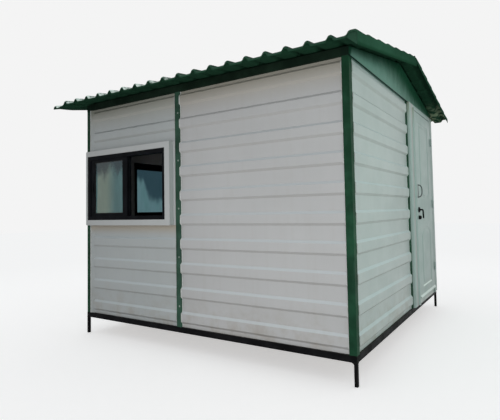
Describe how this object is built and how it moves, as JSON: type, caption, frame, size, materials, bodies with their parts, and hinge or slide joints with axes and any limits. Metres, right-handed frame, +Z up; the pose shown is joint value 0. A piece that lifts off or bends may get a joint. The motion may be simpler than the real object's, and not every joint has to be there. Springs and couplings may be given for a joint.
{
  "type": "security guard booth",
  "caption": "Single-room portable guard cabin on short legs, with ribbed white panel walls, green posts, hooded windows in two walls, a hinged door and a low gabled corrugated roof.",
  "frame": {"origin": "on the ground, under the middle of the plan, level with the bottoms of the legs", "axes": "+X along the front wall to the door end, +Y from the front to the back, +Z up"},
  "size_m": [3.394, 3.37, 2.765],
  "materials": {
    "base_black": "satin black paint, dusty",
    "floor_wood": "plain board",
    "post_green": "gloss green enamel",
    "wall_white": "satin off-white coating",
    "hood_white": "satin white paint",
    "window_black": "satin black coating",
    "window_glass": "clear float glass",
    "door_white": "satin off-white coating",
    "sill_steel": "satin pale grey paint, worn",
    "pull_steel": "brushed",
    "lock_black": "satin black",
    "gable_green": "satin green coating",
    "roof_green": "satin dark green coating"
  },
  "bodies": {
    "cabin": {"base_long_rails": "base_black", "base_cross_rails": "base_black", "legs": "base_black", "floor_joists": "base_black", "floor_board": "floor_wood", "front_left_post": "post_green", "front_right_post": "post_green", "back_left_post": "post_green", "back_right_post": "post_green", "front_middle_post": "post_green", "back_middle_post": "post_green", "left_middle_post": "post_green", "door_post": "post_green", "roof_beams": "post_green", "front_panel_right": "wall_white", "front_panel_below_window": "wall_white", "front_panel_above_window": "wall_white", "back_panel_left": "wall_white", "back_panel_right": "wall_white", "left_panel_front": "wall_white", "left_panel_back": "wall_white", "right_panel": "wall_white", "window_surround": "hood_white", "side_window_surround": "hood_white", "window_frame": "window_black", "window_sash_outer": "window_black", "window_sash_inner": "window_black", "side_window_frame": "window_black", "window_panes": "window_glass", "door_jamb_latch_side": "door_white", "door_jamb_hinge_side": "door_white", "door_head": "door_white", "door_lip": "door_white", "door_hinges_on_frame": "door_white", "door_sill": "sill_steel", "left_gable_panel": "gable_green", "right_gable_panel": "gable_green", "front_roof_sheet": "roof_green", "back_roof_sheet": "roof_green", "ridge_cap": "roof_green"},
    "door": {"door_leaf": "door_white", "door_weather_bar": "sill_steel", "door_hinges_on_leaf": "door_white", "door_pull": "pull_steel", "door_lever_lock": "lock_black"}
  },
  "joints": [
    {"name": "door_hinge", "type": "hinge", "parent": "cabin", "child": "door", "pos_m": [1.568, 1.1745, 1.25], "axis": [0, 0, 1], "range_deg": [0, 110]}
  ]
}
